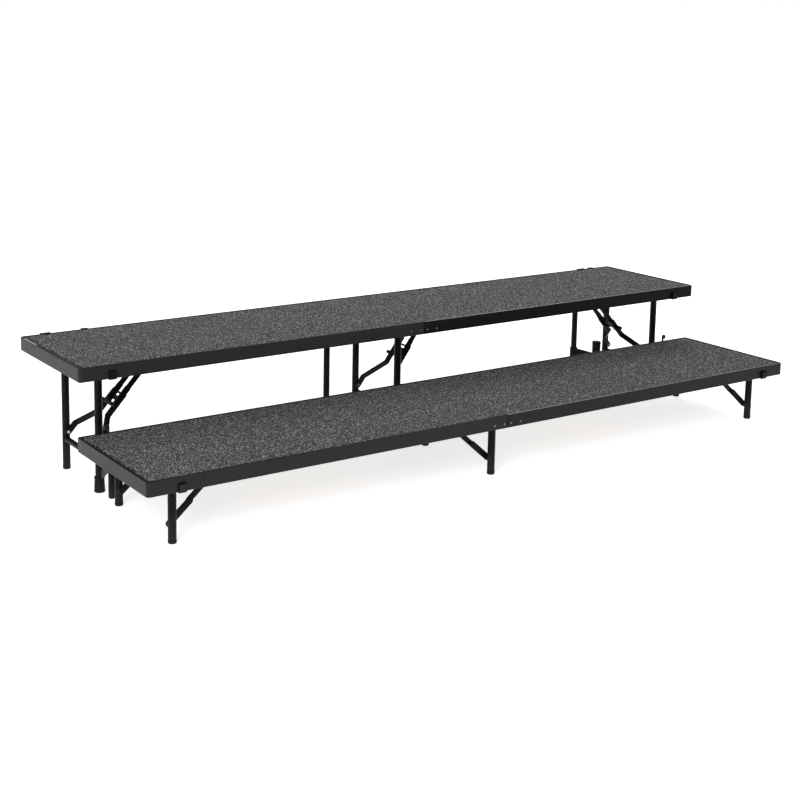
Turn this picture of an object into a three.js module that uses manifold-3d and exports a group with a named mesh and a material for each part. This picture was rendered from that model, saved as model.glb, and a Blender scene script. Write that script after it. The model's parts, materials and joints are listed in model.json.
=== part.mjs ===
// Two-level straight choir riser: two carpeted steel-framed decks on folding leg frames.
// X runs along the riser, Y from the front edge to the back, Z up, all in millimetres.
import * as THREE from 'three';
import { mergeVertices } from 'three/addons/utils/BufferGeometryUtils.js';
import Module from 'manifold-3d';

const wasm = await Module();
wasm.setup();

// Decks
const deckLength = 2438.4;
const deckDepth = 457.2;
const frontDeckTop = 203.2;
const backDeckTop = 406.4;
const deckOverlap = 25.4;
const rimHeight = 41.6;
const rimWall = 2.6;
const rimCornerRadius = 10;
const rimEdgeRound = 1.6;
const lipWidth = 7;
const lipThickness = 3.2;
const shelfWidth = 20;
const shelfThickness = 2.4;
const boardThickness = 12;
const carpetThickness = 6;
const carpetDrop = 0.8;
const carpetCornerRadius = 4;
const seamGap = 0.5;
const seamShift = -26;

// Gaps between pieces
const fitGap = 0.3;
const pinGap = 0.3;
const sideGap = 0.4;
const overrun = 5;

// Splice plates and rivets at the seam of the two rim halves
const spliceThickness = 3;
const spliceHeight = 17.5;
const spliceEndMargin = 10;
const rivetNear = 12.5;
const rivetFar = 50.5;
const rivetDrop = 27;
const rivetShankRadius = 2.2;
const rivetHeadRadius = 4.2;
const rivetCrownRadius = 2.4;
const rivetHeadHeight = 1.9;

// Leg frames
const legRadius = 11.75;
const legWall = 1.8;
const endFrameInset = 97.2;
const endFrameShift = 4.5;
const frontLegInset = 64;
const frontRearLegInset = 55;
const frontCentreShift = -34;
const backLegInset = 106;
const backRearLegInset = 103;
const backCentreShift = -55;
const pivotClearance = 2;
const pivotPinRadius = 6;
const railRadius = 9;
const backRailHeight = 95;

// Feet
const footHeight = 12;
const footFlare = 0.4;
const footRound = 3;
const spigotLength = 12;
const bootHeight = 47;
const bootBottomRadius = 16.2;
const bootTopRadius = 14.4;
const bootRimRadius = 15.6;
const bootRimHeight = 6;

// Folding braces
const frontBraceHeight = 48;
const backBraceHeight = 121;
const frontBraceReach = 138;
const backBraceReach = 228;
const backCentreBraceReach = 183;
const frontArmInset = 19;
const backArmInset = 18;
const backArmCentre = 32;
const footRun = 34;
const bendBack = 77;
const lowerArmWidth = 19;
const upperArmWidth = 16;
const armThickness = 5;
const bracePinRadius = 4.5;
const lockBarRadius = 6.5;
const lockBarSide = 6.5;
const lockBarBack = 42;
const backLockBarReach = 13;
const lapReach = 26;
const lapWidth = 19;
const stopDepth = 15;
const stopThickness = 4;
const tieRodRadius = 3.5;
const frontTieShare = 0.55;
const foldRivetRadius = 4;
const foldRivetHeight = 1.8;

// Hinge plates under the boards
const plateThickness = 3;
const plateMargin = 20;
const tongueMargin = 17;
const earThickness = 4;
const pivotEarRadius = 11.5;
const braceEarRadius = 9;

// Locator blocks on the fascias
const locatorInset = 99.5;
const locatorWidth = 22;
const locatorHeight = 27;
const locatorDepth = 8;
const locatorBevel = 3;
const locatorDrop = 1.5;

// Lugs on the back deck's rear edge, for a further section
const lugDepth = 6;
const lugRoot = 6;
const lugHeight = 30;
const lugRise = 2;
const lugRound = 1.5;
const smallLugWidth = 21;
const wideLugWidth = 32;
const leftLugInset = 82;
const leftInnerLugInset = 209;
const rightLugInset = 93;
const rightInnerLugInset = 142;

// Tie posts behind the front deck, with a hook that grips its rear edge
const leftTieInset = 109;
const rightTieInset = 117;
const tieRadius = 10;
const tieHeight = 190;
const hookThickness = 4;
const hookStemWidth = 6;
const hookStemDrop = 30;
const hookStemOffset = 8;
const hookRadius = 8.5;
const hookOffset = 13;
const hookRise = 19;
const linkWidth = 22;
const linkThickness = 5;
const linkPostHeight = 96;
const linkBootHeight = 52;

// Support posts under the rear edge of the back deck
const postRadius = 11;
const postInset = 45;
const centrePostShift = -137;
const rightPostInset = 205;
const postPivotDrop = 38;
const postPinRadius = 5;
const sleeveRadius = 14.5;
const sleeveHeight = 108;
const stubRadius = 16.5;
const stubHeight = 123;
const stubInset = 102;
const stubAdvance = 19;
const stubCapHeight = 9;
const stubCapFlare = 0.8;
const stubTopRound = 3;
const sleeveLinkHeight = 90;
const stubLinkHeight = 64;
const stubLinkThickness = 6;
const stubLinkWidth = 24;

// Counts of sides on round pieces
const legSides = 16;
const rodSides = 10;
const pinSides = 8;
const cornerSteps = 3;
const halfTurn = Math.PI;
const quarterTurn = Math.PI / 2;

// Worked out from the driving dimensions
const boardDrop = carpetDrop + carpetThickness + fitGap;
const shelfDrop = boardDrop + boardThickness + fitGap;
const pivotDrop = shelfDrop + plateThickness + pivotClearance + legRadius;
const footprint = 2 * deckDepth - deckOverlap;
const frontReach = locatorDepth;
const rearReach = lugDepth;
const frontFaceY = frontReach - (footprint + frontReach + rearReach) / 2;
const frontDeckMidY = frontFaceY + deckDepth / 2;
const backDeckMidY = frontDeckMidY + deckDepth - deckOverlap;
const endFrameX = deckLength / 2 - endFrameInset;
const frontLegSpacing = deckDepth - frontLegInset - frontRearLegInset;
const backLegSpacing = deckDepth - backLegInset - backRearLegInset;
const rightPostX = deckLength / 2 - rightPostInset;

const steel = { color: 0x303232, roughness: 0.45, metalness: 0.2 };
const blackSteel = { color: 0x141515, roughness: 0.4, metalness: 0.2 };
const plating = { color: 0x8c8c8a, roughness: 0.35, metalness: 0.9 };
const plywood = { color: 0x8a6f4c, roughness: 0.8, metalness: 0 };
const carpetPile = { color: 0x5e5e5f, roughness: 1, metalness: 0 };
const rubber = { color: 0x0c0c0c, roughness: 0.7, metalness: 0 };

// Solids
function solidOf(geometry) {
  geometry.deleteAttribute('normal');
  geometry.deleteAttribute('uv');
  const merged = mergeVertices(geometry);
  const vertProperties = new Float32Array(merged.attributes.position.array);
  const triVerts = new Uint32Array(merged.index.array);
  return new wasm.Manifold(new wasm.Mesh({ numProp: 3, vertProperties, triVerts }));
}

function geometryOf(solid) {
  const mesh = solid.getMesh();
  const geometry = new THREE.BufferGeometry();
  geometry.setAttribute('position', new THREE.BufferAttribute(new Float32Array(mesh.vertProperties), 3));
  geometry.setIndex(new THREE.BufferAttribute(new Uint32Array(mesh.triVerts), 1));
  geometry.computeVertexNormals();
  return geometry;
}

function join(solids) {
  return solids.reduce((whole, next) => whole.add(next));
}

function cut(solid, tools) {
  return tools.reduce((rest, tool) => rest.subtract(tool), solid);
}

function block(low, high) {
  const geometry = new THREE.BoxGeometry(high[0] - low[0], high[1] - low[1], high[2] - low[2]);
  geometry.translate((low[0] + high[0]) / 2, (low[1] + high[1]) / 2, (low[2] + high[2]) / 2);
  return solidOf(geometry);
}

// A round rod from one point to another, tapered if a second radius is given.
function rod(from, to, radius, sides, endRadius = radius) {
  const start = new THREE.Vector3(...from);
  const end = new THREE.Vector3(...to);
  const along = end.clone().sub(start);
  const geometry = new THREE.CylinderGeometry(endRadius, radius, along.length(), sides);
  const up = new THREE.Vector3(0, 1, 0);
  geometry.applyQuaternion(new THREE.Quaternion().setFromUnitVectors(up, along.clone().normalize()));
  geometry.translate(...start.add(end).divideScalar(2).toArray());
  return solidOf(geometry);
}

// A hole that a pin of the given radius turns in freely
function bore(from, to, pinRadius, sides) {
  return rod(from, to, (pinRadius + pinGap) / Math.cos(halfTurn / sides), sides);
}

// A flat bar from one point to another whose width lies along the given direction.
function bar(from, to, width, thickness, widthAlong) {
  const start = new THREE.Vector3(...from);
  const end = new THREE.Vector3(...to);
  const along = end.clone().sub(start);
  const length = along.length();
  const lengthwise = along.divideScalar(length);
  const across = new THREE.Vector3(...widthAlong).projectOnPlane(lengthwise).normalize();
  const through = new THREE.Vector3().crossVectors(across, lengthwise);
  const geometry = new THREE.BoxGeometry(length, thickness, width);
  geometry.applyMatrix4(new THREE.Matrix4().makeBasis(lengthwise, through, across));
  geometry.translate(...start.add(end).divideScalar(2).toArray());
  return solidOf(geometry);
}

// A turned piece from its half profile, given as points of radius and height.
function turned(profile, sides) {
  const points = profile.map(([radius, height]) => new THREE.Vector2(radius, height));
  const geometry = new THREE.LatheGeometry(points, sides);
  geometry.rotateX(quarterTurn);
  return solidOf(geometry);
}

// A flat slab with rounded corners, its edges eased by the given round.
function slab(length, depth, corner, bottom, height, edge = 0) {
  const halfX = length / 2;
  const halfY = depth / 2;
  const shape = new THREE.Shape();
  shape.absarc(halfX - corner, halfY - corner, corner, 0, quarterTurn);
  shape.absarc(corner - halfX, halfY - corner, corner, quarterTurn, halfTurn);
  shape.absarc(corner - halfX, corner - halfY, corner, halfTurn, halfTurn + quarterTurn);
  shape.absarc(halfX - corner, corner - halfY, corner, halfTurn + quarterTurn, 2 * halfTurn);
  const geometry = new THREE.ExtrudeGeometry(shape, {
    depth: height - 2 * edge,
    curveSegments: cornerSteps,
    bevelEnabled: edge > 0,
    bevelThickness: edge,
    bevelSize: edge,
    bevelOffset: -edge,
    bevelSegments: 2,
  });
  geometry.translate(0, 0, bottom + edge);
  return solidOf(geometry);
}

function place(group, name, solid, look, position = [0, 0, 0]) {
  const mesh = new THREE.Mesh(geometryOf(solid), new THREE.MeshStandardMaterial(look));
  mesh.name = name;
  mesh.position.set(...position);
  group.add(mesh);
}

// Deck: rim halves with locators and lugs, board, carpet and splice plates, about the deck's own middle
function rimRing(top) {
  const bottom = top - rimHeight;
  const shelfTop = top - shelfDrop;
  const shelfBottom = shelfTop - shelfThickness;
  const lipBottom = top - lipThickness;
  const innerCorner = rimCornerRadius - rimWall;
  const inside = [deckLength - 2 * rimWall, deckDepth - 2 * rimWall];
  const holes = [];
  for (const rivetX of [-rivetFar, -rivetNear, rivetNear, rivetFar]) {
    const z = top - rivetDrop;
    const reach = deckDepth / 2 + overrun;
    const x = seamShift + rivetX;
    holes.push(bore([x, -reach, z], [x, reach, z], rivetShankRadius, pinSides));
  }
  return cut(slab(deckLength, deckDepth, rimCornerRadius, bottom, rimHeight, rimEdgeRound), [
    slab(inside[0], inside[1], innerCorner, bottom - overrun, shelfBottom - bottom + overrun),
    slab(inside[0], inside[1], innerCorner, shelfTop, lipBottom - shelfTop),
    slab(deckLength - 2 * shelfWidth, deckDepth - 2 * shelfWidth, innerCorner,
      shelfBottom - overrun, shelfThickness + 2 * overrun),
    slab(deckLength - 2 * lipWidth, deckDepth - 2 * lipWidth, carpetCornerRadius,
      lipBottom - overrun, lipThickness + 2 * overrun),
    ...holes,
  ]);
}

// A lug on the rear fascia, about the deck's own middle
function lugSolid(section, lug) {
  const face = deckDepth / 2;
  const low = section.top + lugRise - lugHeight;
  const half = lug.width / 2;
  const shape = new THREE.Shape();
  shape.moveTo(face - rimWall / 2, low);
  shape.lineTo(face + lugDepth - lugRound, low);
  shape.lineTo(face + lugDepth, low + lugRound);
  shape.lineTo(face + lugDepth, low + lugHeight - lugRound);
  shape.lineTo(face + lugDepth - lugRound, low + lugHeight);
  shape.lineTo(face - lugRoot, low + lugHeight);
  shape.lineTo(face - lugRoot, section.top - lipThickness / 2);
  shape.lineTo(face - rimWall / 2, section.top - lipThickness / 2);
  const geometry = new THREE.ExtrudeGeometry(shape, { depth: lug.width, bevelEnabled: false });
  geometry.rotateX(quarterTurn);
  geometry.rotateZ(quarterTurn);
  geometry.translate(lug.x - half, 0, 0);
  return solidOf(geometry);
}

// A locator block on the front fascia
function locatorSolid(section, x) {
  const face = -deckDepth / 2;
  const low = section.top - rimHeight - locatorDrop;
  const shape = new THREE.Shape();
  shape.moveTo(-rimWall / 2, 0);
  shape.lineTo(locatorDepth - locatorBevel, 0);
  shape.lineTo(locatorDepth, locatorBevel);
  shape.lineTo(locatorDepth, locatorHeight - locatorBevel);
  shape.lineTo(locatorDepth - locatorBevel, locatorHeight);
  shape.lineTo(-rimWall / 2, locatorHeight);
  const geometry = new THREE.ExtrudeGeometry(shape, { depth: locatorWidth, bevelEnabled: false });
  geometry.translate(0, 0, -locatorWidth / 2);
  geometry.rotateX(quarterTurn);
  geometry.rotateZ(-quarterTurn);
  geometry.translate(x, face, low);
  return solidOf(geometry);
}

function addRimHalves(group, section) {
  const locatorX = deckLength / 2 - locatorInset;
  const locators = [-locatorX, locatorX].map((x) => locatorSolid(section, x));
  const lugs = section.lugs.map((lug) => lugSolid(section, lug));
  const ring = join([rimRing(section.top), ...locators, ...lugs]);
  const reach = deckDepth / 2 + locatorDepth + overrun;
  const end = deckLength / 2 + overrun;
  const low = section.top - rimHeight - overrun;
  const high = section.top + overrun;
  const leftSide = block([-end, -reach, low], [seamShift - seamGap / 2, reach, high]);
  const rightSide = block([seamShift + seamGap / 2, -reach, low], [end, reach, high]);
  place(group, `${section.name}_rim_left`, ring.intersect(leftSide), steel);
  place(group, `${section.name}_rim_right`, ring.intersect(rightSide), steel);
}

function addTread(group, section) {
  const boardInset = rimWall + fitGap;
  const carpetInset = lipWidth + fitGap;
  const boardBottom = section.top - boardDrop - boardThickness;
  const carpetBottom = section.top - carpetDrop - carpetThickness;
  const board = slab(deckLength - 2 * boardInset, deckDepth - 2 * boardInset,
    rimCornerRadius - rimWall, boardBottom, boardThickness);
  const carpet = slab(deckLength - 2 * carpetInset, deckDepth - 2 * carpetInset,
    carpetCornerRadius, carpetBottom, carpetThickness);
  place(group, `${section.name}_deck_board`, board, plywood);
  place(group, `${section.name}_carpet`, carpet, carpetPile);
}

// A splice plate inside the fascia; its rivets pass through both rim halves. Facing is -1 in front
// and 1 behind.
function spliceSolid(top, facing) {
  const face = deckDepth / 2;
  const plateOuter = face - rimWall - fitGap;
  const plateInner = plateOuter - spliceThickness;
  const plateTop = top - shelfDrop - shelfThickness - fitGap;
  const halfLength = rivetFar + spliceEndMargin;
  const ys = [plateInner * facing, plateOuter * facing].sort((a, b) => a - b);
  const pieces = [block([-halfLength, ys[0], plateTop - spliceHeight], [halfLength, ys[1], plateTop])];
  const headFoot = (face + fitGap) * facing;
  const headTop = (face + fitGap + rivetHeadHeight) * facing;
  for (const rivetX of [-rivetFar, -rivetNear, rivetNear, rivetFar]) {
    const z = top - rivetDrop;
    const middle = (plateInner + plateOuter) / 2 * facing;
    pieces.push(rod([rivetX, middle, z], [rivetX, headFoot, z], rivetShankRadius, pinSides));
    pieces.push(rod([rivetX, headFoot, z], [rivetX, headTop, z],
      rivetHeadRadius, pinSides, rivetCrownRadius));
  }
  return join(pieces);
}

function addDeck(group, section) {
  addRimHalves(group, section);
  addTread(group, section);
  const seamAt = [seamShift, 0, 0];
  place(group, `${section.name}_splice_front`, spliceSolid(section.top, -1), plating, seamAt);
  place(group, `${section.name}_splice_rear`, spliceSolid(section.top, 1), plating, seamAt);
}

// Brace geometry in the plane of the fold, from the leg pivot. With these lengths it locks straight
// and also lies straight when the leg is folded.
function braceOf(section, reach) {
  const rise = section.top - pivotDrop - section.braceHeight;
  const span = Math.hypot(rise, reach);
  const lowerLength = (span + rise - reach) / 2;
  const along = [reach / span, 0, rise / span];
  const legward = [-along[2], 0, along[0]];
  const foot = [0, 0, -rise];
  const at = (run, y, side = 0) => [
    foot[0] + along[0] * run + legward[0] * side,
    y,
    foot[2] + along[2] * run + legward[2] * side,
  ];
  return { rise, reach, span, lowerLength, along, legward, at };
}

// Distance of the fold from the middle of the frame
function foldYOf(section) {
  return section.armCentre || section.legSpacing / 2 - section.armInset;
}

// Leg frame about its pivot, folding towards +X
function legFrameSolid(section) {
  const half = section.legSpacing / 2;
  const pivotHeight = section.top - pivotDrop;
  const rise = pivotHeight - section.braceHeight;
  const armY = half - section.armInset;
  const pinEnd = armY - armThickness / 2 + pinGap;
  const tubeEnd = half + legRadius;
  const stubEnd = tubeEnd + sideGap + earThickness + sideGap;
  const solids = [rod([0, -tubeEnd, 0], [0, tubeEnd, 0], legRadius, legSides)];
  const bores = [];
  solids.push(rod([0, -stubEnd, 0], [0, stubEnd, 0], pivotPinRadius, rodSides));
  for (const side of [-1, 1]) {
    const lift = footHeight - pivotHeight;
    const y = side * half;
    solids.push(rod([0, y, lift], [0, y, 0], legRadius, legSides));
    bores.push(rod([0, y, lift - overrun], [0, y, -2 * legRadius], legRadius - legWall, legSides));
  }
  for (const side of [-1, 1]) {
    const bossEnd = armY + armThickness / 2 + sideGap;
    const pinZ = -rise;
    const headEnd = side * (half + legRadius + foldRivetHeight);
    solids.push(rod([0, side * half, pinZ], [0, side * bossEnd, pinZ], lowerArmWidth / 2, rodSides));
    solids.push(rod([0, headEnd, pinZ], [0, side * pinEnd, pinZ], bracePinRadius, pinSides));
  }
  if (section.railHeight) {
    const railZ = section.railHeight - pivotHeight;
    solids.push(rod([0, -half, railZ], [0, half, railZ], railRadius, rodSides));
  }
  return cut(join(solids), bores);
}

// One lower arm of a brace, on the given side, with the head of its fold rivet. The back section's
// arms run beside the legs, lean inwards and then run up to the fold.
function lowerArmSolid(section, brace, side) {
  const footY = side * (section.legSpacing / 2 - section.armInset);
  const y = side * foldYOf(section);
  const fold = brace.lowerLength;
  const halfThick = armThickness / 2;
  const edge = lowerArmWidth / 2;
  const disc = (run, at) =>
    rod(brace.at(run, at - halfThick), brace.at(run, at + halfThick), edge, rodSides);
  const route = section.armCentre
    ? [[0, footY], [footRun, footY], [fold - bendBack, y], [fold, y]]
    : [[0, y], [fold, y]];
  const solids = [disc(0, footY), disc(fold, y)];
  for (const [index, [run, at]] of route.slice(1).entries()) {
    const [lastRun, lastAt] = route[index];
    solids.push(bar(brace.at(lastRun, lastAt), brace.at(run, at),
      lowerArmWidth, armThickness, brace.legward));
  }
  for (const [run, at] of route.slice(1, -1)) {
    solids.push(rod(brace.at(run, at, -edge), brace.at(run, at, edge), halfThick, pinSides));
  }
  const headTop = y + side * (halfThick + foldRivetHeight);
  solids.push(rod(brace.at(fold, y), brace.at(fold, headTop), foldRivetRadius, pinSides));
  if (section.lockReach) {
    const lockRun = fold - lockBarBack;
    const lockEnd = y + side * (halfThick + section.lockReach);
    solids.push(rod(brace.at(lockRun, y, lockBarSide), brace.at(lockRun, lockEnd, lockBarSide),
      lockBarRadius, rodSides));
    const rivetRun = fold - lapReach;
    solids.push(rod(brace.at(rivetRun, y), brace.at(rivetRun, headTop), foldRivetRadius, pinSides));
  }
  const reach = halfThick + overrun;
  const hole = bore(brace.at(0, footY - reach), brace.at(0, footY + reach), bracePinRadius, rodSides);
  return join(solids).subtract(hole);
}

// Upper brace: two arms pinned to the hinge plate and held together by a thin rod. In the back section
// they widen where they lap the lower arms, and a stop plate and the round lock bar join their ends.
function upperBraceSolid(section, brace) {
  const y = foldYOf(section) - armThickness - sideGap;
  const halfThick = armThickness / 2;
  const fold = brace.lowerLength;
  const tieRun = fold + section.tieShare * (brace.span - fold);
  const solids = [rod(brace.at(tieRun, -y), brace.at(tieRun, y), tieRodRadius, pinSides)];
  const holes = [];
  for (const side of [-1, 1]) {
    const at = side * y;
    solids.push(bar(brace.at(fold, at), brace.at(brace.span, at),
      upperArmWidth, armThickness, brace.legward));
    for (const run of [fold, brace.span]) {
      const ends = [brace.at(run, at - halfThick), brace.at(run, at + halfThick)];
      solids.push(rod(ends[0], ends[1], upperArmWidth / 2, rodSides));
    }
    if (section.lockReach) {
      const lap = [brace.at(fold - lockBarBack, at), brace.at(fold + lapReach, at)];
      solids.push(bar(lap[0], lap[1], lapWidth, armThickness, brace.legward));
    }
    const reach = halfThick + overrun;
    holes.push(bore(brace.at(brace.span, at - reach), brace.at(brace.span, at + reach),
      bracePinRadius, rodSides));
  }
  if (section.lockReach) {
    const run = fold - lapReach + stopDepth / 2;
    solids.push(bar(brace.at(run, -y), brace.at(run, y), stopDepth, stopThickness, brace.along));
    const lockAt = (at) => brace.at(fold - lockBarBack, at, lockBarSide);
    solids.push(rod(lockAt(-y), lockAt(y), lockBarRadius, rodSides));
  }
  return cut(join(solids), holes);
}

// Hinge plate under the board: ears for the leg frame and for the upper brace, about the leg pivot
function hingePlateSolid(section, brace, post) {
  const half = section.legSpacing / 2;
  const plateBottom = pivotClearance + legRadius;
  const plateTop = plateBottom + plateThickness;
  const earY = half + legRadius + sideGap + earThickness / 2;
  const foldY = foldYOf(section);
  const armY = foldY - armThickness - sideGap;
  const braceEarY = armY - armThickness / 2 - sideGap - earThickness / 2;
  const wideY = earY + earThickness / 2 + fitGap;
  const solids = [
    block([-plateMargin, -wideY, plateBottom], [plateMargin, wideY, plateTop]),
    block([-plateMargin, -foldY, plateBottom], [brace.reach + tongueMargin, foldY, plateTop]),
  ];
  const holes = [];
  const inPlate = (plateBottom + plateTop) / 2;
  const halfEar = earThickness / 2;
  for (const side of [-1, 1]) {
    const y = side * earY;
    solids.push(block([-pivotEarRadius, y - halfEar, 0], [pivotEarRadius, y + halfEar, inPlate]));
    solids.push(rod([0, y - halfEar, 0], [0, y + halfEar, 0], pivotEarRadius, legSides));
    const reach = halfEar + overrun;
    holes.push(bore([0, y - reach, 0], [0, y + reach, 0], pivotPinRadius, rodSides));
    const braceY = side * braceEarY;
    const x = brace.reach;
    solids.push(block([x - braceEarRadius, braceY - halfEar, 0],
      [x + braceEarRadius, braceY + halfEar, inPlate]));
    solids.push(rod([x, braceY - halfEar, 0], [x, braceY + halfEar, 0], braceEarRadius, rodSides));
    const pinEnd = side * (armY + armThickness / 2 - pinGap);
    solids.push(rod([x, braceY, 0], [x, pinEnd, 0], bracePinRadius, pinSides));
  }
  if (post) {
    const postEarY = postRadius + sideGap + earThickness / 2;
    const along = Math.sign(post.y);
    const padY = [post.y - along * (postEarY + halfEar), post.y + along * (postEarY + halfEar)];
    const padLow = Math.min(post.x - plateMargin, -plateMargin);
    const padHigh = Math.max(post.x + plateMargin, plateMargin);
    const inner = along * (wideY - halfEar);
    const ys = [inner, padY[1]].sort((a, b) => a - b);
    solids.push(block([padLow, ys[0], plateBottom], [padHigh, ys[1], plateTop]));
    const drop = pivotDrop - postPivotDrop;
    for (const side of [-1, 1]) {
      const y = post.y + side * postEarY;
      solids.push(block([post.x - braceEarRadius, y - halfEar, drop],
        [post.x + braceEarRadius, y + halfEar, inPlate]));
      solids.push(rod([post.x, y - halfEar, drop], [post.x, y + halfEar, drop], braceEarRadius, rodSides));
      const reach = halfEar + overrun;
      holes.push(bore([post.x, y - reach, drop], [post.x, y + reach, drop], postPinRadius, rodSides));
    }
  }
  return cut(join(solids), holes);
}

// Feet, standing on the floor with their axis at the origin
function plugSolid(radius) {
  const outer = radius + footFlare;
  const spigot = radius - legWall - pinGap;
  return turned([
    [0, 0],
    [outer - footRound, 0],
    [outer, footRound],
    [outer, footHeight - fitGap],
    [spigot, footHeight - fitGap],
    [spigot, footHeight + spigotLength],
    [0, footHeight + spigotLength],
  ], legSides);
}

function bootSolid() {
  const inner = legRadius + fitGap;
  const seat = footHeight - fitGap;
  const rimFoot = bootHeight - bootRimHeight;
  return turned([
    [0, 0],
    [bootBottomRadius - footRound, 0],
    [bootBottomRadius, footRound],
    [bootTopRadius, rimFoot],
    [bootRimRadius, rimFoot],
    [bootRimRadius, bootHeight],
    [inner, bootHeight],
    [inner, seat],
    [0, seat],
  ], legSides);
}

function addLegFrame(group, section, frame) {
  const pivotHeight = section.top - pivotDrop;
  const middle = section.legInset + section.legSpacing / 2 - deckDepth / 2;
  const brace = braceOf(section, frame.reach);
  const name = (piece) => `${section.name}_${piece}_${frame.name}`;
  const holder = new THREE.Group();
  holder.position.set(frame.x, middle, pivotHeight);
  holder.rotation.z = frame.turned ? halfTurn : 0;
  group.add(holder);
  place(holder, name('hinge_plate'), hingePlateSolid(section, brace, frame.post), blackSteel);
  place(holder, name('leg_frame'), legFrameSolid(section), blackSteel);
  for (const end of ['front', 'rear']) {
    const towards = (end === 'front') === !frame.turned ? -1 : 1;
    place(holder, `${name('lower_arm')}_${end}`, lowerArmSolid(section, brace, towards), blackSteel);
  }
  place(holder, name('upper_brace'), upperBraceSolid(section, brace), blackSteel);
  for (const end of ['front', 'rear']) {
    const towards = (end === 'front') === !frame.turned ? -1 : 1;
    const booted = section.boots && end === 'front' && frame.name !== 'centre';
    const spot = [0, towards * section.legSpacing / 2, -pivotHeight];
    const solid = booted ? bootSolid() : plugSolid(legRadius);
    place(holder, `${name(booted ? 'boot' : 'foot')}_${end}`, solid, rubber, spot);
  }
}

// Tie post behind the front deck, about its own foot: post, hook and the link to the boot. The hook is
// on the outer side, which is -1 on the left and 1 on the right.
function tiePostSolid(side, inset) {
  const hookTop = frontDeckTop + hookRise;
  const hookCentre = hookTop - hookRadius;
  const halfHook = hookThickness / 2;
  const halfLink = linkThickness / 2;
  const bootGap = backLegInset - deckOverlap - tieRadius - fitGap - bootRimRadius - 2 * sideGap;
  const linkX = side * (inset - endFrameInset) + endFrameShift;
  const stemX = side * hookStemOffset;
  const hookX = side * hookOffset;
  const link = bar([linkX, 0, linkPostHeight], [linkX, bootGap + linkWidth, linkBootHeight - linkWidth / 2],
    linkWidth, linkThickness, [0, 0, 1]);
  const rivetEnd = linkX + side * (halfLink + foldRivetHeight);
  return join([
    rod([0, 0, footRound], [0, 0, tieHeight], tieRadius, legSides),
    rod([0, 0, 0], [0, 0, footRound], tieRadius - footRound, legSides, tieRadius),
    block([stemX - hookStemWidth / 2, -halfHook, tieHeight - hookStemDrop],
      [stemX + hookStemWidth / 2, halfHook, hookTop - hookRadius / 2]),
    rod([hookX, -halfHook, hookCentre], [hookX, halfHook, hookCentre], hookRadius, legSides),
    rod([linkX - halfLink, 0, linkPostHeight], [linkX + halfLink, 0, linkPostHeight],
      linkWidth / 2, legSides),
    rod([0, 0, linkPostHeight], [rivetEnd, 0, linkPostHeight], bracePinRadius, pinSides),
    link.intersect(block([-2 * linkWidth, -linkWidth, 0], [2 * linkWidth, bootGap, tieHeight])),
  ]);
}

// Support post about its pivot, with a foot on the floor
function supportPostSolid(pivotHeight, plain) {
  const halfWidth = postRadius;
  const stub = postRadius + sideGap + earThickness + sideGap;
  const solids = [
    rod([0, -halfWidth, 0], [0, halfWidth, 0], postRadius, legSides),
    rod([0, -stub, 0], [0, stub, 0], postPinRadius, rodSides),
    rod([0, 0, 0], [0, 0, footHeight - pivotHeight], postRadius, legSides),
  ];
  if (plain) {
    solids.push(rod([0, 0, footRound - pivotHeight], [0, 0, footHeight - pivotHeight],
      postRadius + footFlare, legSides));
    solids.push(rod([0, 0, -pivotHeight], [0, 0, footRound - pivotHeight],
      postRadius + footFlare - footRound, legSides, postRadius + footFlare));
  }
  return join(solids);
}

// Outrigger foot of the right-hand post: a sleeve, a link and a capped stub, about the post's foot
function outriggerSolid() {
  const reachX = rightPostInset - stubInset;
  const reachY = -stubAdvance;
  const sleeve = turned([
    [0, 0],
    [sleeveRadius - footRound, 0],
    [sleeveRadius, footRound],
    [sleeveRadius, sleeveHeight],
    [postRadius + fitGap, sleeveHeight],
    [postRadius + fitGap, footHeight - fitGap],
    [0, footHeight - fitGap],
  ], legSides);
  const stub = turned([
    [0, 0],
    [stubRadius - footRound, 0],
    [stubRadius, footRound],
    [stubRadius, stubHeight - stubCapHeight],
    [stubRadius + stubCapFlare, stubHeight - stubCapHeight],
    [stubRadius + stubCapFlare, stubHeight - stubTopRound],
    [stubRadius - stubTopRound, stubHeight],
    [0, stubHeight],
  ], legSides).translate([reachX, reachY, 0]);
  const link = bar([0, 0, sleeveLinkHeight], [reachX, reachY, stubLinkHeight],
    stubLinkWidth, stubLinkThickness, [0, 0, 1]);
  const hollow = rod([0, 0, footHeight - fitGap], [0, 0, sleeveHeight + overrun],
    postRadius + fitGap, legSides);
  return join([sleeve, link.subtract(hollow), stub]);
}

// The two sections
const front = {
  name: 'front',
  top: frontDeckTop,
  legInset: frontLegInset,
  legSpacing: frontLegSpacing,
  braceHeight: frontBraceHeight,
  armInset: frontArmInset,
  armCentre: 0,
  lockReach: 0,
  tieShare: frontTieShare,
  railHeight: 0,
  boots: false,
  lugs: [],
};

const back = {
  name: 'back',
  top: backDeckTop,
  legInset: backLegInset,
  legSpacing: backLegSpacing,
  braceHeight: backBraceHeight,
  armInset: backArmInset,
  armCentre: backArmCentre,
  lockReach: backLockBarReach,
  tieShare: 0,
  railHeight: backRailHeight,
  boots: true,
  lugs: [
    { x: leftLugInset - deckLength / 2, width: wideLugWidth },
    { x: leftInnerLugInset - deckLength / 2, width: smallLugWidth },
    { x: deckLength / 2 - rightLugInset, width: smallLugWidth },
    { x: deckLength / 2 - rightInnerLugInset, width: wideLugWidth },
  ],
};

const frontFrames = [
  { name: 'left', x: endFrameShift - endFrameX, turned: false, reach: frontBraceReach },
  { name: 'centre', x: frontCentreShift, turned: true, reach: frontBraceReach },
  { name: 'right', x: endFrameShift + endFrameX, turned: true, reach: frontBraceReach },
];

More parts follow.
